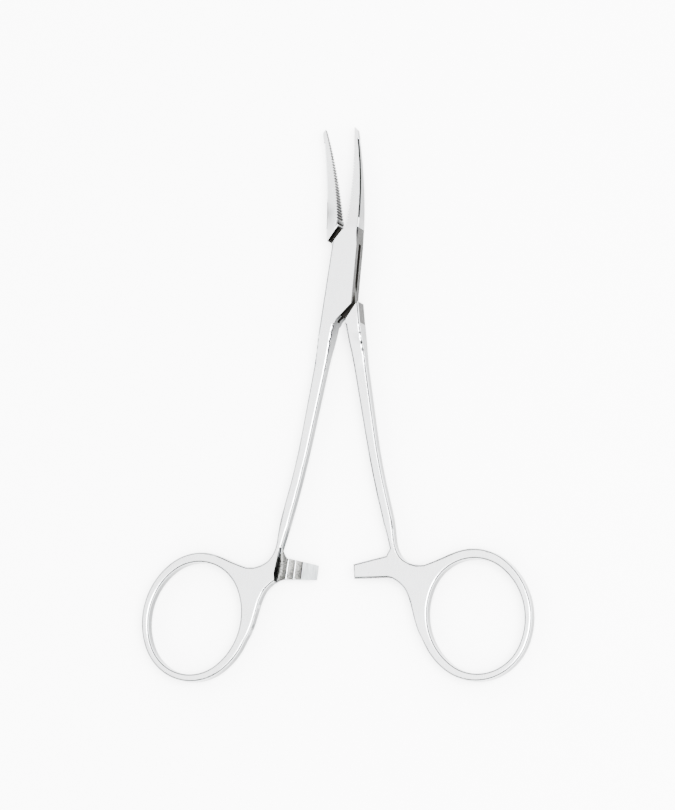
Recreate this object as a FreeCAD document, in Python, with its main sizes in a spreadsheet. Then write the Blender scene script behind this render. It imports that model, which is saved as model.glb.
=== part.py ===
import FreeCAD, Part
import Sketcher
import math
import os
from types import SimpleNamespace

# Curved mosquito hemostat forceps with a box lock and a three-tooth ratchet.
# It lies on the back face of the box lock: +Y to the tips, +X to the right ring, +Z to the front face.
# The origin is on the hinge axis, on the back face. All sizes are in millimetres and degrees.
# Both halves are drawn closed and then turned apart, half the opening angle each.

SIZES = {
    # Opening of the two halves at rest, and the running clearances
    "opening_angle": 11.2,
    "jaw_clearance": 0.04,
    "shoulder_clearance": 0.16,
    "tongue_clearance": 0.05,
    "pin_clearance": 0.04,
    # Box lock
    "box_thickness": 4.6,
    "box_top_half_width": 2.85,
    "box_foot_half_width": 3.35,
    "plate_top_side": 6.1,
    "plate_top_end": 9.5,
    "plate_foot_side": -7.5,
    "plate_foot_end": -11.2,
    "plate_foot_overlap": 0.3,
    "slot_thickness": 1.4,
    "tongue_half_width": 2.3,
    "pin_diameter": 2.6,
    # Jaws
    "jaw_curve_radius": 120.0,
    "jaw_curve_start": 12.0,
    "jaw_length": 32.2,
    "jaw_middle": 20.5,
    "jaw_middle_width": 2.05,
    "jaw_tip_width": 0.95,
    "jaw_tip_round": 0.7,
    "jaw_middle_thickness": 2.3,
    "jaw_tip_thickness": 1.05,
    "serration_pitch": 0.65,
    "serration_depth": 0.3,
    "serration_count": 33,
    "serration_start": 10.3,
    # Shanks
    "neck_top": -12.5,
    "neck_foot": -23.0,
    "neck_top_outer": 3.45,
    "neck_foot_inner": 1.2,
    "neck_foot_outer": 4.0,
    "shank_thickness": 2.8,
    "shank_bend_start": -37.0,
    "shank_bend_inner": 2.6,
    "shank_bend_outer": 4.95,
    "shank_low": -54.0,
    "shank_low_inner": 4.85,
    "shank_low_outer": 7.15,
    "shank_foot": -63.5,
    "shank_foot_inner": 6.6,
    "shank_foot_outer": 9.3,
    # Finger rings
    "ring_centre_out": 24.7,
    "ring_centre_down": -79.3,
    "ring_hole_wide": 21.5,
    "ring_hole_long": 24.7,
    "ring_end_radius": 9.9,
    "ring_lean": 10.0,
    "ring_wall": 2.0,
    "ring_wall_shift": 0.3,
    "web_notch_out": 10.4,
    "web_notch_down": -65.8,
    "web_branch_out": 21.0,
    "web_branch_down": -65.1,
    "web_heel_out": 8.4,
    "web_heel_down": -69.2,
    "web_limb_out": 12.3,
    "web_limb_down": -75.2,
    # Ratchet bars
    "bar_radius": 66.8,
    "bar_width": 3.2,
    "bar_reach": 2.06,
    "bar_root_out": 5.5,
    "bar_root_widening": 1.0,
    "tooth_pitch": 1.76,
    "tooth_lead_in": 3.2,
    "tooth_land": 0.3,
    "tooth_crest": 0.28,
    "tooth_gullet": 0.45,
    "bar_tip_drop": 0.75,
    "bar_pocket_length": 2.3,
    "bar_pocket_drop": 0.6,
    # Edges
    "edge_round": 0.55,
    "jaw_edge_round": 0.3,
    "web_round": 2.6,
    "notch_round": 1.0,
    "bar_corner_round": 0.5,
}


# A size that knows its number and its formula over the sheet, so that sketches stay tied to the sheet.
class Size:
    def __init__(self, number, text=None):
        self.number = float(number)
        self.text = text or repr(float(number))

    def __add__(self, other):
        other = asSize(other)
        return Size(self.number + other.number, f"({self.text} + {other.text})")

    def __sub__(self, other):
        other = asSize(other)
        return Size(self.number - other.number, f"({self.text} - {other.text})")

    def __mul__(self, other):
        other = asSize(other)
        return Size(self.number * other.number, f"({self.text} * {other.text})")

    def __truediv__(self, other):
        other = asSize(other)
        return Size(self.number / other.number, f"({self.text} / {other.text})")

    def __neg__(self):
        return Size(-self.number, f"(0 - {self.text})")


def asSize(value):
    return value if isinstance(value, Size) else Size(value)


def squareRoot(size):
    return Size(math.sqrt(size.number), f"sqrt({size.text})")


def sine(angle):
    return Size(math.sin(math.radians(angle.number)), f"sin({angle.text} * 1 deg)")


def cosine(angle):
    return Size(math.cos(math.radians(angle.number)), f"cos({angle.text} * 1 deg)")


size = SimpleNamespace(**{name: Size(number, f"Sizes.{name}") for name, number in SIZES.items()})
mid = size.box_thickness / 2
throughAll = size.box_thickness * 3

# How near an edge must lie to the place by which it is picked out
EDGE_MATCH = 0.01


def makeSheet(doc):
    sheet = doc.addObject("Spreadsheet::Sheet", "Sizes")
    for row, (name, number) in enumerate(SIZES.items(), 1):
        sheet.set(f"A{row}", name)
        sheet.set(f"B{row}", str(number))
        sheet.setAlias(f"B{row}", name)
    doc.recompute()


# Sketches

def arcThrough(start, middle, end):
    ends = [FreeCAD.Vector(a.number, b.number, 0) for a, b in (start, middle, end)]
    centre = Part.Arc(*ends).toShape().Curve.Center
    angles = [math.atan2(point.y - centre.y, point.x - centre.x) for point in ends]
    turn = (ends[1] - ends[0]).cross(ends[2] - ends[1]).z
    circle = Part.Circle(centre, FreeCAD.Vector(0, 0, 1), (ends[0] - centre).Length)
    if turn > 0:
        return Part.ArcOfCircle(circle, angles[0], angles[2]), 1
    return Part.ArcOfCircle(circle, angles[2], angles[0]), 2


def tie(sketch, kind, references, value):
    index = sketch.addConstraint(Sketcher.Constraint(kind, *references, value.number))
    sketch.setExpression(f"Constraints[{index}]", value.text)


def pinPoint(sketch, geometry, position, point):
    tie(sketch, "DistanceX", (-1, 1, geometry, position), point[0])
    tie(sketch, "DistanceY", (-1, 1, geometry, position), point[1])


def makeSketch(body, name, plane, height=None, at=None):
    sketch = body.newObject("Sketcher::SketchObject", name)
    base = next(item for item in body.Origin.OriginFeatures if item.Role == plane)
    sketch.AttachmentSupport = [(base, "")]
    sketch.MapMode = "FlatFace"
    if height is not None:
        sketch.setExpression("AttachmentOffset.Base.z", height.text)
    if at is not None:
        sketch.setExpression("AttachmentOffset.Base.x", at[0].text)
        sketch.setExpression("AttachmentOffset.Base.y", at[1].text)
    return sketch


# A closed outline. Each corner is tied to the sheet; an edge with a middle point is an arc through it.
def outline(body, name, plane, corners, middles=None, height=None, at=None):
    sketch = makeSketch(body, name, plane, height, at)
    middles = middles or {}
    corners = [(asSize(a), asSize(b)) for a, b in corners]
    starts = []
    for index, corner in enumerate(corners):
        following = corners[(index + 1) % len(corners)]
        if index in middles:
            middle = tuple(asSize(value) for value in middles[index])
            arc, first = arcThrough(corner, middle, following)
            starts.append((sketch.addGeometry(arc), first, middle))
        else:
            ends = [FreeCAD.Vector(a.number, b.number, 0) for a, b in (corner, following)]
            starts.append((sketch.addGeometry(Part.LineSegment(*ends)), 1, None))
    for index, (geometry, first, middle) in enumerate(starts):
        nextGeometry, nextFirst, _ = starts[(index + 1) % len(starts)]
        sketch.addConstraint(Sketcher.Constraint("Coincident", geometry, 3 - first, nextGeometry, nextFirst))
        pinPoint(sketch, geometry, first, corners[index])
        if middle is not None:
            spot = FreeCAD.Vector(middle[0].number, middle[1].number, 0)
            marker = sketch.addGeometry(Part.Point(spot), True)
            pinPoint(sketch, marker, 1, middle)
            sketch.addConstraint(Sketcher.Constraint("PointOnObject", marker, 1, geometry))
    return sketch


# A four-arc oval, with its long axis leaning from +Y towards -X by the given angle.
def oval(body, name, centre, wide, long, endRadius, lean, height=None):
    a = long / 2
    b = wide / 2
    sideRadius = (a * a - a * endRadius * 2 + b * b) / ((b - endRadius) * 2)
    share = sideRadius - endRadius
    along = (a - endRadius) * sideRadius / share
    across = (sideRadius - b) * endRadius / share

    def place(run, step):
        x = centre[0] - sine(lean) * run - cosine(lean) * step
        return x, centre[1] + cosine(lean) * run - sine(lean) * step

    none = asSize(0)
    corners = [place(along, -across), place(along, across), place(-along, across), place(-along, -across)]
    middles = {0: place(a, none), 1: place(none, b), 2: place(-a, none), 3: place(none, -b)}
    return outline(body, name, "XY_Plane", corners, middles, height=height)


# Features

def feature(body, kind, name, sketch, length, symmetric=False, back=False):
    item = body.newObject(f"PartDesign::{kind}", name)
    item.Profile = sketch
    item.SideType = "Symmetric" if symmetric else "One side"
    item.Reversed = back
    item.setExpression("Length", length.text)
    item.Refine = True
    return item


def pad(body, name, sketch, length, symmetric=False):
    return feature(body, "Pad", name, sketch, length, symmetric)


# A pocket must take something away, or its direction is wrong.
def pocket(body, name, sketch, length, symmetric=False, back=False):
    body.Document.recompute()
    before = body.Shape.Volume
    item = feature(body, "Pocket", name, sketch, length, symmetric, back)
    body.Document.recompute()
    if item.Shape.isNull() or before - item.Shape.Volume < 1e-4:
        raise RuntimeError(f"{name} cuts nothing")
    return item


def mirrorFrontToBack(body, name, originals):
    middle = body.newObject("PartDesign::Plane", name + "Plane")
    base = next(item for item in body.Origin.OriginFeatures if item.Role == "XY_Plane")
    middle.AttachmentSupport = [(base, "")]
    middle.MapMode = "FlatFace"
    middle.setExpression("AttachmentOffset.Base.z", mid.text)
    item = body.newObject("PartDesign::Mirrored", name)
    item.Originals = originals
    item.MirrorPlane = (middle, [""])
    body.Tip = item
    body.Document.recompute()
    return item


def turnedPattern(body, name, original, axisSketch, step, count):
    item = body.newObject("PartDesign::PolarPattern", name)
    item.Originals = [original]
    item.Axis = (axisSketch, ["N_Axis"])
    item.Mode = "Spacing"
    item.setExpression("Offset", f"{step.text} * 1 deg")
    item.setExpression("Occurrences", count.text)
    body.Tip = item
    body.Document.recompute()
    return item


# Rounds the edges of the body's present shape that the test picks out.
def roundEdges(body, name, radius, picks):
    body.Document.recompute()
    base = body.Tip
    names = [f"Edge{index}" for index, edge in enumerate(base.Shape.Edges, 1) if picks(edge)]
    if not names:
        raise RuntimeError(f"{name} finds no edge")
    item = body.newObject("PartDesign::Fillet", name)
    item.Base = (base, names)
    item.setExpression("Radius", radius.text)
    body.Document.recompute()
    return item


def isUpright(edge):
    direction = edge.Vertexes[-1].Point - edge.Vertexes[0].Point
    return abs(direction.z) > 0.95 * edge.Length


def isLevel(edge):
    box = edge.BoundBox
    return box.ZMax - box.ZMin < 1e-4


# The curve on which the two jaws meet; it bends towards -X.
def matingX(y):
    run = y - size.jaw_curve_start
    return squareRoot(size.jaw_curve_radius * size.jaw_curve_radius - run * run) - size.jaw_curve_radius


# The jaw, from its root to its rounded tip: +1 is the right jaw, -1 the left one.
def jawOutline(side):
    gap = size.jaw_clearance / 2 * side
    root = size.plate_top_end
    end = size.jaw_length - size.jaw_tip_round
    return [
        (matingX(root) + gap, root),
        (matingX(size.jaw_length) + gap + size.jaw_tip_width * 0.25 * side, size.jaw_length),
        (matingX(end) + gap + size.jaw_tip_width * side, end),
        (size.box_top_half_width * side, root),
    ]


def jawMiddles(side):
    gap = size.jaw_clearance / 2 * side
    half = (size.plate_top_end + size.jaw_length) / 2
    return {
        0: (matingX(half) + gap, half),
        2: (matingX(size.jaw_middle) + gap + size.jaw_middle_width * side, size.jaw_middle),
    }


# Takes the front and back faces of the jaw down towards its tip.
def taperJaw(body):
    top = size.box_thickness + 1
    sketch = outline(body, "JawTaperSketch", "YZ_Plane", [
        (size.plate_top_end - 1, size.box_thickness),
        (size.jaw_length + 1, mid + size.jaw_tip_thickness / 2),
        (size.jaw_length + 1, top),
        (size.plate_top_end - 1, top),
    ], {0: (size.jaw_middle, mid + size.jaw_middle_thickness / 2)})
    taper = pocket(body, "JawTaper", sketch, size.jaw_length, symmetric=True)
    mirrorFrontToBack(body, "JawTaperBack", [taper])


# Takes the faces of the neck down, in a gentle double bend, to those of the shank.
def taperNeck(body):
    top = size.box_thickness + 1
    face = size.box_thickness
    low = mid + size.shank_thickness / 2
    run = (size.neck_foot - size.neck_top) / 4
    drop = (face - low) / 8
    half = (size.neck_top + size.neck_foot) / 2
    sketch = outline(body, "NeckTaperSketch", "YZ_Plane", [
        (size.neck_top, face),
        (half, (face + low) / 2),
        (size.neck_foot, low),
        (size.neck_foot - 1, low),
        (size.neck_foot - 1, top),
        (size.neck_top, top),
    ], {0: (size.neck_top + run, face - drop), 1: (size.neck_foot - run, low + drop)})
    taper = pocket(body, "NeckTaper", sketch, size.jaw_length, symmetric=True)
    mirrorFrontToBack(body, "NeckTaperBack", [taper])


# Shank, web and finger ring: a flat forging on the middle plane of the lock.
def addHandle(body, side):
    low = mid - size.shank_thickness / 2
    shank = outline(body, "ShankSketch", "XY_Plane", [
        (size.neck_foot_inner * side, size.neck_foot),
        (size.shank_bend_inner * side, size.shank_bend_start),
        (size.shank_foot_inner * side, size.shank_foot),
        (size.shank_foot_outer * side, size.shank_foot),
        (size.shank_bend_outer * side, size.shank_bend_start),
        (size.neck_foot_outer * side, size.neck_foot),
    ], {
        1: (size.shank_low_inner * side, size.shank_low),
        3: (size.shank_low_outer * side, size.shank_low),
    }, height=low)
    pad(body, "Shank", shank, size.shank_thickness)
    web = outline(body, "WebSketch", "XY_Plane", [
        (size.shank_foot_inner * side, size.shank_foot),
        (size.shank_foot_outer * side, size.shank_foot),
        (size.web_notch_out * side, size.web_notch_down),
        (size.web_branch_out * side, size.web_branch_down),
        ((size.ring_centre_out - size.ring_hole_wide / 4) * side, size.ring_centre_down),
        (size.web_limb_out * side, size.web_limb_down),
        (size.web_heel_out * side, size.web_heel_down),
        (size.bar_root_out * side, -size.bar_radius - size.bar_width / 2 - size.bar_root_widening / 2),
    ], height=low)
    pad(body, "Web", web, size.shank_thickness)
    shift = size.ring_wall_shift
    centre = ((size.ring_centre_out - shift) * side, size.ring_centre_down + shift)
    lean = size.ring_lean * side
    ring = oval(body, "RingSketch", centre, size.ring_hole_wide + size.ring_wall * 2,
                size.ring_hole_long + size.ring_wall * 2, size.ring_end_radius + size.ring_wall, lean, low)
    pad(body, "Ring", ring, size.shank_thickness)
    reach = -size.bar_reach * side
    top = -size.bar_radius + size.bar_width / 2
    foot = -size.bar_radius - size.bar_width / 2
    widen = size.bar_root_widening
    bar = outline(body, "BarSketch", "XY_Plane", [
        (reach, top),
        (reach, foot),
        (size.bar_root_out * side, foot - widen / 2),
        (size.web_heel_out * side, size.web_heel_down),
        (size.shank_foot_outer * side, size.shank_foot),
        (size.shank_foot_inner * side, size.shank_foot + widen),
        (size.bar_root_out * side, top + widen),
    ], height=low)
    pad(body, "Bar", bar, size.shank_thickness)
    hole = oval(body, "RingHoleSketch", (size.ring_centre_out * side, size.ring_centre_down),
                size.ring_hole_wide, size.ring_hole_long, size.ring_end_radius, lean)
    pocket(body, "RingHole", hole, throughAll, back=True)


# How far a shoulder stands off along Y, so that its clearance holds square to the sloping plate end.
def topLift():
    run = size.box_top_half_width
    rise = size.plate_top_end - size.plate_top_side
    return size.shoulder_clearance * squareRoot(run * run + rise * rise) / run


def footLift():
    run = size.box_foot_half_width - size.plate_foot_overlap
    rise = size.plate_foot_side - size.plate_foot_end
    return size.shoulder_clearance * squareRoot(run * run + rise * rise) / run


# The solid ends of the slot: sloping lines that mirror the sloping ends of the plates.
def topSlope(x):
    rise = size.plate_top_end - size.plate_top_side
    return size.plate_top_end - rise / size.box_top_half_width * x


def footSlope(x):
    run = size.box_foot_half_width - size.plate_foot_overlap
    rise = size.plate_foot_side - size.plate_foot_end
    return size.plate_foot_end - rise / run * (asSize(x) + size.plate_foot_overlap)


# Three saw teeth on the bar, with a lead-in ramp at its tip and a milled pocket at its root.
# The teeth face +Z with facing 1 and -Z with facing -1.
def cutTeeth(body, side, facing):
    def across(run):
        return (asSize(run) - size.bar_reach) * side

    def level(height):
        return mid + asSize(height) * facing

    inside = size.bar_radius - size.bar_width / 2 - size.bar_root_widening * 3
    outside = size.bar_radius + size.bar_width / 2 + size.bar_root_widening * 2
    beyond = -size.bar_width
    lastBack = size.tooth_lead_in + size.tooth_pitch * 2 + size.tooth_land
    wall = lastBack + size.bar_pocket_length
    for name, start, end, height in (
        ("BarFace", wall, beyond, size.tooth_crest),
        ("BarPocket", wall, lastBack, -size.bar_pocket_drop),
    ):
        sketch = outline(body, name + "Sketch", "XY_Plane", [
            (across(start) * inside / size.bar_radius, -inside),
            (across(start) * outside / size.bar_radius, -outside),
            (across(end) * outside / size.bar_radius, -outside),
            (across(end) * inside / size.bar_radius, -inside),
        ], height=level(height))
        pocket(body, name, sketch, size.shank_thickness, back=facing > 0)
    slope = (size.bar_tip_drop + size.tooth_crest) / size.tooth_lead_in
    above = size.tooth_pitch / 2
    ramp = outline(body, "RampSketch", "XZ_Plane", [
        (across(size.tooth_lead_in + above), level(size.tooth_crest + slope * above)),
        (across(beyond), level(size.tooth_crest + slope * above)),
        (across(beyond), level(-size.bar_tip_drop + slope * beyond)),
    ], height=size.bar_radius)
    pocket(body, "Ramp", ramp, size.bar_width * 2, symmetric=True)
    steep = size.tooth_lead_in + size.tooth_land
    rise = (size.tooth_crest + size.tooth_gullet) / (size.tooth_pitch - size.tooth_land)
    gullet = outline(body, "GulletSketch", "XZ_Plane", [
        (across(steep), level(size.tooth_crest + rise * above)),
        (across(steep), level(-size.tooth_gullet)),
        (across(size.tooth_lead_in + size.tooth_pitch + above), level(size.tooth_crest + rise * above)),
    ], height=size.bar_radius)
    cut = pocket(body, "Gullet", gullet, size.bar_width * 2, symmetric=True)
    axis = makeSketch(body, "HingeAxisSketch", "XY_Plane")
    step = size.tooth_pitch / size.bar_radius * (180 / math.pi) * side
    turnedPattern(body, "Gullets", cut, axis, step, asSize(2))


# Fine grooves across the jaw, laid out along its curve.
def cutSerrations(body, side, shift):
    centre = (-size.jaw_curve_radius, size.jaw_curve_start)
    face = size.jaw_curve_radius + size.jaw_clearance / 2 * side
    bottom = face + size.serration_depth * side
    above = face - size.serration_depth * side
    first = size.serration_start - size.jaw_curve_start + size.serration_pitch * shift
    half = size.serration_pitch * 0.42
    groove = outline(body, "SerrationSketch", "XY_Plane", [
        (bottom, first),
        (face, first + half),
        (above, first + half),
        (above, first - half),
        (face, first - half),
    ], height=mid, at=centre)
    cut = pocket(body, "Serration", groove, size.box_thickness * 2, symmetric=True)
    step = size.serration_pitch / size.jaw_curve_radius * (180 / math.pi)
    turnedPattern(body, "Serrations", cut, groove, step, size.serration_count)


def makeBoxHalf(doc):
    body = doc.addObject("PartDesign::Body", "box_half")
    jaw = jawOutline(1)
    corners = [
        (-size.box_top_half_width, size.plate_top_side),
        jaw[0], jaw[1], jaw[2], jaw[3],
        (size.box_foot_half_width, size.plate_foot_side),
        (size.plate_foot_overlap, size.plate_foot_end),
        (-size.shoulder_clearance, size.neck_top),
        (-size.neck_foot_inner, size.neck_foot),
        (-size.neck_foot_outer, size.neck_foot),
        (-size.neck_top_outer, size.neck_top),
    ]
    middles = {1 + index: middle for index, middle in jawMiddles(1).items()}
    lock = outline(body, "LockSketch", "XY_Plane", corners, middles)
    pad(body, "Lock", lock, size.box_thickness)
    taperJaw(body)
    taperNeck(body)
    addHandle(body, -1)
    roundHandle(body, -1)
    wide = size.box_foot_half_width
    slot = outline(body, "SlotSketch", "XY_Plane", [
        (-wide / 3, topSlope(-wide / 3)),
        (wide * 1.5, topSlope(wide * 1.5)),
        (wide * 2, topSlope(wide * 1.5)),
        (wide * 2, footSlope(wide / 3)),
        (wide / 3, footSlope(wide / 3)),
        (-wide * 1.5, footSlope(-wide * 1.5)),
        (-wide * 2, footSlope(-wide * 1.5)),
        (-wide * 2, topSlope(-wide / 3)),
    ], height=mid)
    pocket(body, "Slot", slot, size.slot_thickness, symmetric=True)
    pinBore(body, size.pin_diameter)
    cutTeeth(body, -1, 1)
    cutSerrations(body, 1, 0.5)
    turn(body, -1)
    return body


# The tongue comes after the jaw and the handle, which are two lumps of one body until then.
def makeTongueHalf(doc):
    body = doc.addObject("PartDesign::Body", "tongue_half")
    body.AllowCompound = True
    neck = outline(body, "NeckSketch", "XY_Plane", [
        (size.box_foot_half_width, size.plate_foot_side - footLift()),
        (size.plate_foot_overlap + size.shoulder_clearance, size.plate_foot_end - size.shoulder_clearance / 2),
        (size.shoulder_clearance, size.neck_top),
        (size.neck_foot_inner, size.neck_foot),
        (size.neck_foot_outer, size.neck_foot),
        (size.neck_top_outer, size.neck_top),
    ])
    pad(body, "Neck", neck, size.box_thickness)
    taperNeck(body)
    addHandle(body, 1)
    roundHandle(body, 1)
    jaw = jawOutline(-1)
    root = size.plate_top_end + topLift()
    jawSketch = outline(body, "JawSketch", "XY_Plane", [
        (matingX(root) - size.jaw_clearance / 2, root),
        jaw[1], jaw[2], jaw[3],
        (-size.box_top_half_width, size.plate_top_side + topLift()),
    ], jawMiddles(-1))
    pad(body, "Jaw", jawSketch, size.box_thickness)
    taperJaw(body)
    thick = size.slot_thickness - size.tongue_clearance * 2
    wide = size.tongue_half_width
    tongue = outline(body, "TongueSketch", "XY_Plane", [
        (-wide, size.plate_top_end),
        (-wide, footSlope(-wide) + footLift()),
        (wide / 4, footSlope(wide / 4) + footLift()),
        (wide, size.plate_foot_end),
        (wide, topSlope(wide) - topLift()),
        (-wide / 8, topSlope(-wide / 8) - topLift()),
    ], height=mid)
    pad(body, "Tongue", tongue, thick, symmetric=True)
    pinBore(body, size.pin_diameter + size.pin_clearance * 2)
    cutTeeth(body, 1, -1)
    cutSerrations(body, -1, 0)
    turn(body, 1)
    return body


def pinBore(body, diameter):
    sketch = makeSketch(body, "BoreSketch", "XY_Plane")
    sketch.addGeometry(Part.Circle(FreeCAD.Vector(0, 0, 0), FreeCAD.Vector(0, 0, 1), diameter.number / 2))
    sketch.addConstraint(Sketcher.Constraint("Coincident", 0, 3, -1, 1))
    tie(sketch, "Diameter", (0,), diameter)
    pocket(body, "Bore", sketch, throughAll, back=True)


# Turns a half about the hinge, away from its closed place.
def turn(item, side):
    item.Placement = FreeCAD.Placement(FreeCAD.Vector(0, 0, 0), FreeCAD.Rotation(FreeCAD.Vector(0, 0, 1), 1))
    item.setExpression("Placement.Rotation.Angle", f"{(size.opening_angle / 2 * side).text} * 1 deg")


def near(edge, point, side):
    place = edge.Vertexes[0].Point
    return math.hypot(place.x - point[0].number * side, place.y - point[1].number) < EDGE_MATCH


# Rounds the corners of the handle's plan first, then the edges of its front and back faces.
def roundHandle(body, side):
    notch = (size.web_notch_out, size.web_notch_down)
    roundEdges(body, "NotchRound", size.notch_round, lambda edge: isUpright(edge) and near(edge, notch, side))
    heel = (size.web_heel_out, size.web_heel_down)
    roundEdges(body, "HeelRound", size.web_round, lambda edge: isUpright(edge) and near(edge, heel, side))
    foot = size.neck_foot.number + EDGE_MATCH
    roundEdges(body, "HandleRound", size.edge_round, lambda edge: isLevel(edge) and edge.BoundBox.YMax < foot)


def makeLockPin(doc):
    pin = doc.addObject("Part::Cylinder", "lock_pin")
    pin.setExpression("Radius", (size.pin_diameter / 2).text)
    pin.setExpression("Height", size.box_thickness.text)
    return pin


doc = FreeCAD.newDocument("hemostat_forceps")
makeSheet(doc)
subParts = [makeBoxHalf(doc), makeTongueHalf(doc), makeLockPin(doc)]
doc.recompute()
for item in doc.Objects:
    if any(word in item.State for word in ("Invalid", "Error")):
        raise RuntimeError(f"{item.Name} failed: {item.State}")
for item in subParts:
    if item.Shape.isNull() or not item.Shape.isValid() or len(item.Shape.Solids) != 1:
        raise RuntimeError(f"{item.Label} is not one valid solid")
os.makedirs("parts", exist_ok=True)
for item in subParts:
    item.Shape.exportStep(f"parts/{item.Label}.step")
    print(item.Label, round(item.Shape.Volume, 1), item.Shape.BoundBox)
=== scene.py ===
import math
import bpy
from mathutils import Matrix, Vector
from mathutils.bvhtree import BVHTree
from mathutils.geometry import interpolate_bezier


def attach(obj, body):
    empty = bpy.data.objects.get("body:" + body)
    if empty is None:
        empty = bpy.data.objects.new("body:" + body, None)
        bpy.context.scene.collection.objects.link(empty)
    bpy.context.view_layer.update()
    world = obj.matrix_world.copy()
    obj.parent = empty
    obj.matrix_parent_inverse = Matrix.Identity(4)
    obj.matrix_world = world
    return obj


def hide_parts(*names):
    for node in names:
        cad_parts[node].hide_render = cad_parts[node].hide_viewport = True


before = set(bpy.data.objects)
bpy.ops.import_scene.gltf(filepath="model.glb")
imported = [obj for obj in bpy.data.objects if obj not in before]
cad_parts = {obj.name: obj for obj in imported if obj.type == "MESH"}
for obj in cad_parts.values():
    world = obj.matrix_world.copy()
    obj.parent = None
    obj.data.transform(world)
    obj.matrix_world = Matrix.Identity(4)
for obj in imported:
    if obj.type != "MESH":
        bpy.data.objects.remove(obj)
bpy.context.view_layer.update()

print("frame loaded")

mm = 0.001


# sRGB hex to the linear colour that a shader takes
def hexColour(code):
    parts = [int(code[i:i + 2], 16) / 255 for i in (1, 3, 5)]
    return tuple(p / 12.92 if p <= 0.04045 else ((p + 0.055) / 1.055) ** 2.4 for p in parts) + (1.0,)


# Adds a node; a setting or link goes to the socket of that name or number, or to the node's own property
def addNode(tree, kind, place, settings=None, links=None):
    node = tree.nodes.new(kind)
    node.location = place
    for name, value in (settings or {}).items():
        if isinstance(name, int) or name in node.inputs:
            node.inputs[name].default_value = value
        else:
            setattr(node, name, value)
    for name, source in (links or {}).items():
        tree.links.new(source, node.inputs[name])
    return node


def only(piece):
    bpy.ops.object.select_all(action="DESELECT")
    piece.select_set(True)
    bpy.context.view_layer.objects.active = piece


# Martensitic stainless steel, forged and ground: one metal, with a finish for each kind of face; the dark
# colours of sides, ratchet, slot and grooves are painted shade

steel = {
    "satin": {                      # flat faces, belt-ground and glass-bead blasted: an even soft sheen
        "colour": "#C9CACB",
        "deepest": 0.93,            # the darkest of the grain, as a share of the colour
        "roughness": 0.30,
        "spread": 0.08,
        "grain": 0.22,              # mm; the real grain is near 0.03 mm, drawn as coarse as a pixel to show
        "along": 12,                # how much longer than wide a grain line is
        "depth": 0.0020,            # mm
    },
    "polished": {                   # rims, buffed on a wheel: sharp light and dark bands
        "colour": "#AEB0B1",
        "deepest": 0.90,
        "roughness": 0.10,
        "spread": 0.04,
        "grain": 0.35,
        "along": 3,
        "depth": 0.0012,
    },
    "paintedShadeFlank": {                      # upright sides, buffed less: a grey mirror, darker than the faces as painted shade
        "colour": "#484A4B",
        "deepest": 0.60,
        "roughness": 0.16,
        "spread": 0.06,
        "grain": 0.50,
        "along": 6,
        "depth": 0.0015,
    },
    "milledWithPaintedShade": {                     # ratchet teeth and pocket, left as the cutter left it: speckled and dull, and darker as painted shade in these recesses
        "colour": "#5C5C5A",
        "deepest": 0.08,
        "roughness": 0.42,
        "spread": 0.14,
        "grain": 0.34,
        "along": 1,
        "depth": 0.0150,
    },
    "paintedShadeRecess": {                  # slot and serration grooves: painted shade, a near-black colour where these recesses lie in shade
        "colour": "#1B1A18",
        "deepest": 0.50,
        "roughness": 0.55,
        "spread": 0.12,
        "grain": 0.40,
        "along": 1,
        "depth": 0.0060,
    },
}
marbling = {                        # the same in every finish
    "handled": 6.0,                 # mm, size of the clouds that handling leaves
    "share": 0.35,                  # of the clouds in their mix with the grain
    "dulling": (0.25, 0.75),        # levels of that mix between which the roughness goes from low to high
    "darkening": (0.38, 0.62),      # levels between which the colour goes from its deepest to its own
}


def makeSteel(name, finish):
    material = bpy.data.materials.new(name)
    material.use_nodes = True
    tree = material.node_tree
    tree.nodes.clear()
    out = addNode(tree, "ShaderNodeOutputMaterial", (900, 0))
    shader = addNode(tree, "ShaderNodeBsdfPrincipled", (600, 0), {"Metallic": 1.0})
    tree.links.new(shader.outputs["BSDF"], out.inputs["Surface"])
    spot = addNode(tree, "ShaderNodeTexCoord", (-1100, 0))
    perMetre = 1 / (finish["grain"] * mm)
    stretch = addNode(tree, "ShaderNodeMapping", (-900, 0),
                      {"Scale": (perMetre, perMetre / finish["along"], perMetre)},
                      {"Vector": spot.outputs["Object"]})
    grain = addNode(tree, "ShaderNodeTexNoise", (-650, 120), {"Scale": 1.0, "Detail": 3.0, "Roughness": 0.6},
                    {"Vector": stretch.outputs["Vector"]})
    cloud = addNode(tree, "ShaderNodeTexNoise", (-650, -160),
                    {"Scale": 1 / (marbling["handled"] * mm), "Detail": 2.0},
                    {"Vector": spot.outputs["Object"]})
    both = addNode(tree, "ShaderNodeMix", (-400, 0), {"data_type": "FLOAT", 0: marbling["share"]},
                   {2: grain.outputs[0], 3: cloud.outputs[0]})
    gloss = addNode(tree, "ShaderNodeMapRange", (-150, 60),
                    {"From Min": marbling["dulling"][0], "From Max": marbling["dulling"][1],
                     "To Min": finish["roughness"] - finish["spread"],
                     "To Max": finish["roughness"] + finish["spread"]},
                    {"Value": both.outputs[0]})
    tint = addNode(tree, "ShaderNodeValToRGB", (-150, 340), links={"Fac": both.outputs[0]})
    base = hexColour(finish["colour"])
    deepest = tuple(c * finish["deepest"] for c in base[:3]) + (1.0,)
    for stop, level, colour in zip(tint.color_ramp.elements, marbling["darkening"], (deepest, base)):
        stop.position = level
        stop.color = colour
    relief = addNode(tree, "ShaderNodeBump", (250, -220), {"Strength": 1.0, "Distance": finish["depth"] * mm},
                     {"Height": grain.outputs[0]})
    tree.links.new(tint.outputs["Color"], shader.inputs["Base Color"])
    tree.links.new(gloss.outputs["Result"], shader.inputs["Roughness"])
    tree.links.new(relief.outputs["Normal"], shader.inputs["Normal"])
    return material


finishes = {name: makeSteel(name + "StainlessSteel", finish) for name, finish in steel.items()}
print("steel finishes made")


# The two halves: each is the forging itself, with its edges broken as on a polishing wheel

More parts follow.
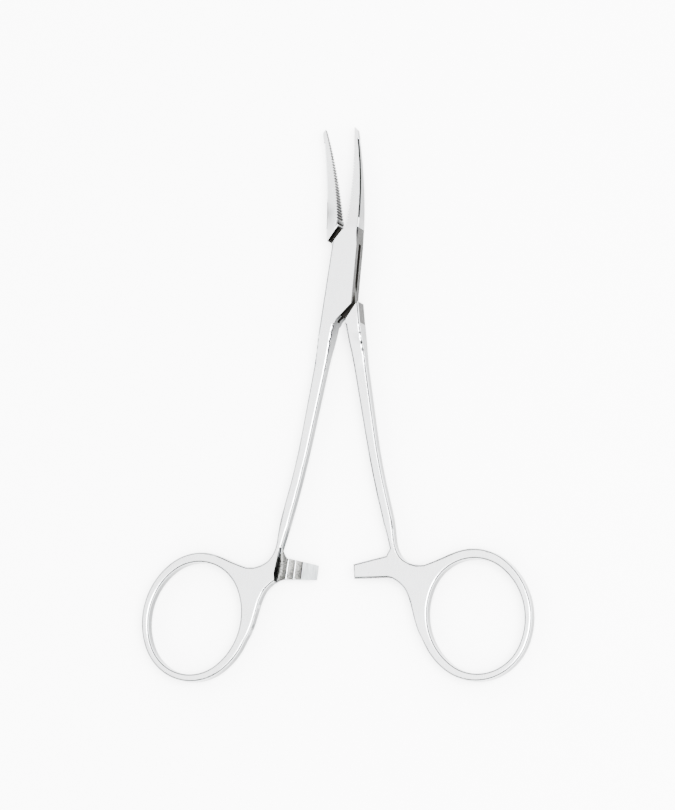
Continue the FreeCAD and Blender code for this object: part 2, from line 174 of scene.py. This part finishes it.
halves = {                          # side is where the handle lies: -1 left, 1 right
    "box_half": {"name": "boxHalfForging", "body": "box_side", "slot": "box_half_steel",
                 "turned": -5.6, "side": -1},
    "tongue_half": {"name": "tongueHalfForging", "body": "tongue_side", "slot": "tongue_half_steel",
                    "turned": 5.6, "side": 1},
}
cleaning = {
    "merged": 0.0005,               # mm; corners of the CAD mesh that are nearer than this become one
    "coplanar": 0.4,                # degrees; neighbouring faces that turn less than this become one
    "rounded": 38,                  # degrees; edges that turn less than this are shaded round
}
edges = {
    "sharper": 24,                  # degrees; edges that turn more than this are broken
    "side": {"width": 0.34, "segments": 1, "clamped": False},       # mm; one flat bevel
    "soft": {"width": 0.06, "segments": 2, "clamped": True},        # mm; only takes the sharpness off
}
marks = {                           # places on a half in mm, as if the forceps were closed
    "middle": 2.3,                  # height of the slot's middle
    "slot": 0.72,                   # half the slot's height
    "plate": 1.3,                   # front and back faces are farther from the middle than this
    "rivet": 1.6,                   # its flush rim stays sharp
    "side": 2.2,                    # the sides of lock and neck are farther out than this
    "lockSide": (-7.0, 9.8),        # the lengths along Y that the side bevels run
    "neckSide": (-22.5, -13.5),
    "jawSide": (9.8, 30.5),
    "softened": (-22.95, 9.8),      # the length along Y that has soft edges
    "jawBack": 0.6,                 # the backs of the jaws are farther from the meeting faces than this
    "jawCore": 0.1,                 # and their bevelled edges farther from the middle's height
    "lockFoot": -11.2,
    "jawRoot": 9.5,
    "jawBend": {"start": 12.0, "radius": 120.0},
    "serrated": 0.40,               # the serrations lie within this of the meeting faces
    "groove": 0.08,                 # their grooves begin this deep, below the bright lands
    "ratchetOut": 8.0,
    "ratchetTop": -64.2,
    "ratchetFoot": -69.2,
    "teeth": 1.2,                   # teeth and gullets are within this height of the middle
    "pocket": 0.5,                  # the pocket behind the teeth is deeper than this
}
tilts = {                           # the share of a face's normal along Z, from 0 upright to 1 level
    "upright": 0.15,
    "leaning": 0.5,
    "flat": 0.93,
    "level": 0.99,
}


# A point's place in mm if its half were turned back to the closed forceps
def closedPlace(p, turned):
    angle = math.radians(-turned)
    x = p.x * math.cos(angle) - p.y * math.sin(angle)
    y = p.x * math.sin(angle) + p.y * math.cos(angle)
    return x / mm, y / mm, p.z / mm - marks["middle"]


def fromMeetingFace(x, y):
    bend = marks["jawBend"]
    run = max(y - bend["start"], 0)
    return abs(x + bend["radius"] - math.sqrt(bend["radius"] ** 2 - run * run))


def inRatchet(x, y, z):
    return abs(x) < marks["ratchetOut"] and marks["ratchetFoot"] < y < marks["ratchetTop"]


def within(length, y):
    return length[0] < y < length[1]


# Front and back rims between the jaw's root and the shank, without the rivet's
def isPlateEdge(x, y, z):
    return within(marks["softened"], y) and abs(z) > marks["plate"] and math.hypot(x, y) > marks["rivet"]


# Long edges down the sides of lock and neck and down the backs of the jaws
def isSideEdge(x, y, z):
    if within(marks["jawSide"], y):
        return fromMeetingFace(x, y) > marks["jawBack"] and abs(z) > marks["jawCore"]
    onSide = within(marks["lockSide"], y) or within(marks["neckSide"], y)
    return onSide and abs(z) > marks["plate"] and abs(x) > marks["side"]


# The web between shank, bar and ring has straight edges in the solid and hollow curves on the real forging.
# Rays go out from each hollow's centre. Along each, the metal moves from the solid's edge to the real curve,
# which leaves that edge on two of the rays and goes through a few points between them.
# Places are on the right half in mm, as if the forceps were closed, and the left half mirrors them.
hollows = {
    "notch": {
        "centre": (13.6, -61.2),
        "leaves": (135.0, 339.4),   # degrees from +X
        "through": [(7.6, -58.3), (7.9, -62.6), (9.5, -65.5), (13.0, -67.1), (16.5, -66.45), (20.5, -65.2)],
    },
    "heel": {
        "centre": (3.4, -75.3),
        "leaves": (90.9, -41.2),
        "through": [(6.2, -69.2), (8.8, -71.4), (10.0, -74.3), (10.9, -79.0), (11.6, -81.5)],
    },
}
webMesh = {
    "wall": 0.8,                    # mm from the middle's height to the rays, which meet upright wall there
    "steps": 6,                     # points that draw the curve from one of its points to the next
    "spacing": 0.9,                 # mm, longer edges round a hollow are subdivided
    "cuts": 6,
    "near": 2.4,                    # mm, how near to the solid's edge an edge counts as round the hollow
    "rigid": 0.7,                   # mm, the rim moves whole to this depth behind the edge
    "still": 1.6,                   # mm, and nothing moves deeper than this
    "parallel": 1e-9,               # mm, a stretch of curve that spans less across a ray is passed over
}


def smoothThrough(points):
    line = [points[0]]
    for i, (here, there) in enumerate(zip(points, points[1:])):
        before = points[max(i - 1, 0)]
        after = points[min(i + 2, len(points) - 1)]
        leaving = here + (there - before) / 6
        arriving = there - (after - here) / 6
        line += interpolate_bezier(here, leaving, arriving, there, webMesh["steps"])[1:]
    return line


# The two hollows on one half: the start of the rays on the ratchet bar's side, the solid that they meet and
# the real curve
def fitHollows(mesh, turned, side):
    places = []
    for vertex in mesh.vertices:
        x, y, z = closedPlace(vertex.co, turned)
        places.append((x * side, y, z))
    solid = BVHTree.FromPolygons(places, [polygon.vertices[:] for polygon in mesh.polygons])
    fitted = []
    for hollow in hollows.values():
        start = Vector((*hollow["centre"], webMesh["wall"] * side))
        ends = []
        for degrees in hollow["leaves"]:
            angle = math.radians(degrees)
            ends.append(solid.ray_cast(start, Vector((math.cos(angle), math.sin(angle), 0)))[0].xy)
        points = [ends[0], *(Vector(point) for point in hollow["through"]), ends[1]]
        fitted.append({"start": start, "solid": solid, "curve": smoothThrough(points)})
    return fitted


# Distance from a start to a curve along a ray, or none where the ray misses it
def reachTo(curve, start, ray):
    for here, there in zip(curve, curve[1:]):
        ax, ay, bx, by = here.x - start.x, here.y - start.y, there.x - start.x, there.y - start.y
        turn = ray.x * (by - ay) - ray.y * (bx - ax)
        if abs(turn) < webMesh["parallel"]:
            continue
        share = (ay * ray.x - ax * ray.y) / -turn
        reach = (ax * (by - ay) - ay * (bx - ax)) / turn
        if 0 <= share <= 1 and reach > 0:
            return reach
    return None


# Depth of a point behind the solid's edge, the move from that edge to the real curve, and the point's ray
def rayThrough(hollow, x, y):
    start = hollow["start"]
    ray = Vector((x - start.x, y - start.y, 0))
    away = ray.length
    ray.normalize()
    real = reachTo(hollow["curve"], start, ray)
    solid = hollow["solid"].ray_cast(start, ray)[3]
    if real is None or solid is None:
        return None
    return away - solid, real - solid, ray


def isNear(fitted, x, y):
    for hollow in fitted:
        found = rayThrough(hollow, x, y)
        if found and abs(found[0]) < webMesh["near"]:
            return True
    return False


def selectNothing(mesh):
    for part in (mesh.vertices, mesh.edges, mesh.polygons):
        part.foreach_set("select", [False] * len(part))


def curveWeb(piece, turned, side):
    mesh = piece.data
    fitted = fitHollows(mesh, turned, side)
    only(piece)
    selectNothing(mesh)
    for edge in mesh.edges:
        ends = [closedPlace(mesh.vertices[i].co, turned) for i in edge.vertices]
        isLong = math.dist(ends[0][:2], ends[1][:2]) > webMesh["spacing"]
        edge.select = isLong and all(isNear(fitted, x * side, y) for x, y, z in ends)
    bpy.ops.object.mode_set(mode="EDIT")
    bpy.ops.mesh.select_mode(type="EDGE")
    bpy.ops.mesh.subdivide(number_cuts=webMesh["cuts"])
    bpy.ops.object.mode_set(mode="OBJECT")
    opened = Matrix.Rotation(math.radians(turned), 3, "Z")
    rigid, still = webMesh["rigid"], webMesh["still"]
    for vertex in mesh.vertices:
        x, y, z = closedPlace(vertex.co, turned)
        for hollow in fitted:
            found = rayThrough(hollow, x * side, y)
            if found and abs(found[0]) < still:
                depth, move, ray = found
                fade = (still - max(depth, rigid)) / (still - rigid)
                move *= fade * fade * (3 - 2 * fade)
                vertex.co += opened @ Vector((ray.x * side, ray.y, 0)) * move * mm
    print(piece.name, "web curved,", len(mesh.polygons), "faces")


def breakEdges(piece, turned, kind, picks):
    only(piece)
    bpy.ops.object.mode_set(mode="EDIT")
    bpy.ops.mesh.select_mode(type="EDGE")
    bpy.ops.mesh.select_all(action="DESELECT")
    bpy.ops.mesh.edges_select_sharp(sharpness=math.radians(edges["sharper"]))
    bpy.ops.object.mode_set(mode="OBJECT")
    mesh = piece.data
    chosen = [edge.index for edge in mesh.edges if edge.select
              and all(picks(*closedPlace(mesh.vertices[i].co, turned)) for i in edge.vertices)]
    selectNothing(mesh)
    for index in chosen:
        mesh.edges[index].select = True
    bevel = edges[kind]
    bpy.ops.object.mode_set(mode="EDIT")
    bpy.ops.mesh.bevel(offset=bevel["width"] * mm, segments=bevel["segments"], affect="EDGES",
                       clamp_overlap=bevel["clamped"])
    bpy.ops.object.mode_set(mode="OBJECT")
    print(piece.name, len(chosen), "edges broken by", bevel["width"], "mm")


# Finish of a face by its place and by the share of its normal along Z; the darker ones paint shade on upright
# sides, ratchet recesses, slot and serration grooves
def finishOf(x, y, z, level):
    if inRatchet(x, y, z) and abs(z) < marks["teeth"]:
        # recessed teeth and pocket: dull cutter finish with painted shade
        if tilts["upright"] < level < tilts["flat"] or abs(z) > marks["pocket"]:
            return "milledWithPaintedShade"
        # steep ratchet faces: the dark grey that paints shade
        return "paintedShadeFlank" if level < tilts["level"] else "satin"
    inGroove = marks["groove"] < fromMeetingFace(x, y) < marks["serrated"]
    # serration grooves: painted shade
    if y > marks["jawRoot"] and inGroove and level < tilts["leaning"]:
        return "paintedShadeRecess"
    # the slot: painted shade
    if marks["lockFoot"] < y < marks["jawRoot"] and abs(z) < marks["slot"]:
        return "paintedShadeRecess"
    if level > tilts["flat"]:
        return "satin"
    # upright sides: the dark grey that paints shade
    return "polished" if level > tilts["upright"] else "paintedShadeFlank"


def dressHalf(node, facts):
    piece = bpy.data.objects.new(facts["name"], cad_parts[node].data.copy())
    bpy.context.scene.collection.objects.link(piece)
    piece.data.materials.clear()
    order = list(finishes)
    for name in order:
        piece.data.materials.append(finishes[name])
    only(piece)
    bpy.ops.object.mode_set(mode="EDIT")
    bpy.ops.mesh.select_all(action="SELECT")
    bpy.ops.mesh.remove_doubles(threshold=cleaning["merged"] * mm)
    bpy.ops.mesh.dissolve_limited(angle_limit=math.radians(cleaning["coplanar"]), delimit={"NORMAL"})
    bpy.ops.object.mode_set(mode="OBJECT")
    curveWeb(piece, facts["turned"], facts["side"])
    breakEdges(piece, facts["turned"], "side", isSideEdge)
    breakEdges(piece, facts["turned"], "soft", isPlateEdge)
    for polygon in piece.data.polygons:
        place = closedPlace(polygon.center, facts["turned"])
        polygon.material_index = order.index(finishOf(*place, abs(polygon.normal.z)))
    only(piece)
    bpy.ops.object.shade_smooth_by_angle(angle=math.radians(cleaning["rounded"]))
    modifier = piece.modifiers.new("evenNormals", "WEIGHTED_NORMAL")
    modifier.keep_sharp = True
    bpy.ops.object.modifier_apply(modifier="evenNormals")
    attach(piece, facts["body"])
    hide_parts(node)
    return piece


for node, facts in halves.items():
    piece = dressHalf(node, facts)
    print(piece.name, len(piece.data.polygons), "faces")

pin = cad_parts["lock_pin"]
pin.data.materials.clear()
pin.data.materials.append(finishes["satin"])
print("halves and rivet finished")


# Studio: a pale sweep, one large softbox above on the right, and a dark band all round at table height

studio = {                          # lengths in metres, except where a note says mm; power in watts
    "floor": "#FAFAFA",
    "floorRoughness": 0.95,         # matt paper: no shine, a soft shadow
    "floorSize": 6.0,
    "floorGap": 0.2,                # mm below the object
    "room": "#FFFFFF",
    "roomLight": 6.5,
    "softboxToward": (0.42, -0.10, 0.90),
    "softboxAway": 1.2,
    "softboxSize": 0.8,
    "softboxPower": 95.0,
    "flag": "#161718",
    "flagRoughness": 1.0,
    "flagSides": 96,
    "flagRadius": 1.1,
    "flagLow": 0.06,
    "flagHigh": 1.35,
}


# A plain matt surface for what stands round the object
def mattMaterial(name, colour, roughness):
    material = bpy.data.materials.new(name)
    material.use_nodes = True
    shader = material.node_tree.nodes["Principled BSDF"]
    shader.inputs["Base Color"].default_value = hexColour(colour)
    shader.inputs["Roughness"].default_value = roughness
    return material


bpy.ops.object.select_all(action="DESELECT")
bpy.ops.mesh.primitive_plane_add(size=studio["floorSize"], location=(0, 0, -studio["floorGap"] * mm))
floor = bpy.context.object
floor.name = "paleFloor"
floor.data.materials.append(mattMaterial("mattPaperSweep", studio["floor"], studio["floorRoughness"]))

bpy.ops.mesh.primitive_cylinder_add(vertices=studio["flagSides"], radius=studio["flagRadius"],
                                    depth=studio["flagHigh"] - studio["flagLow"], end_fill_type="NOTHING",
                                    location=(0, 0, (studio["flagHigh"] + studio["flagLow"]) / 2))
flag = bpy.context.object
flag.name = "darkFlag"
flag.data.materials.append(mattMaterial("blackFlagCloth", studio["flag"], studio["flagRoughness"]))
flag.visible_camera = False
flag.visible_diffuse = False
flag.visible_shadow = False

room = bpy.data.worlds.new("whiteRoom")
bpy.context.scene.world = room
room.use_nodes = True
room.node_tree.nodes["Background"].inputs["Color"].default_value = hexColour(studio["room"])
room.node_tree.nodes["Background"].inputs["Strength"].default_value = studio["roomLight"]

softbox = bpy.data.objects.new("softbox", bpy.data.lights.new("softbox", "AREA"))
bpy.context.scene.collection.objects.link(softbox)
softbox.data.shape = "SQUARE"
softbox.data.size = studio["softboxSize"]
softbox.data.energy = studio["softboxPower"]
toward = Vector(studio["softboxToward"]).normalized()
softbox.location = toward * studio["softboxAway"]
softbox.rotation_euler = toward.to_track_quat("Z", "Y").to_euler()
print("studio set")


# Camera, 20 degrees to the right of the front face and 9 degrees towards the rings

lens = {
    "place": (268.06, -154.35, 740.67),         # mm
    "aim": (-2.186, -29.22, -1.829),            # mm
    "roll": 1.582,                              # degrees
    "focal": 161.8,                             # mm
    "sensor": 36.0,                             # mm
    "nearest": 0.01,                            # metres
}

camera = bpy.data.objects.new("studioCamera", bpy.data.cameras.new("studioCamera"))
bpy.context.scene.collection.objects.link(camera)
place = Vector(lens["place"]) * mm
back = (place - Vector(lens["aim"]) * mm).normalized()
level = Vector((0, 1, 0)).cross(back).normalized()
upright = back.cross(level)
roll = math.radians(lens["roll"])
across = level * math.cos(roll) + upright * math.sin(roll)
upward = upright * math.cos(roll) - level * math.sin(roll)
facing = Matrix((across, upward, back)).transposed().to_4x4()
camera.matrix_world = Matrix.Translation(place) @ facing
camera.data.lens = lens["focal"]
camera.data.sensor_width = lens["sensor"]
camera.data.clip_start = lens["nearest"]
bpy.context.scene.camera = camera
print("camera set")
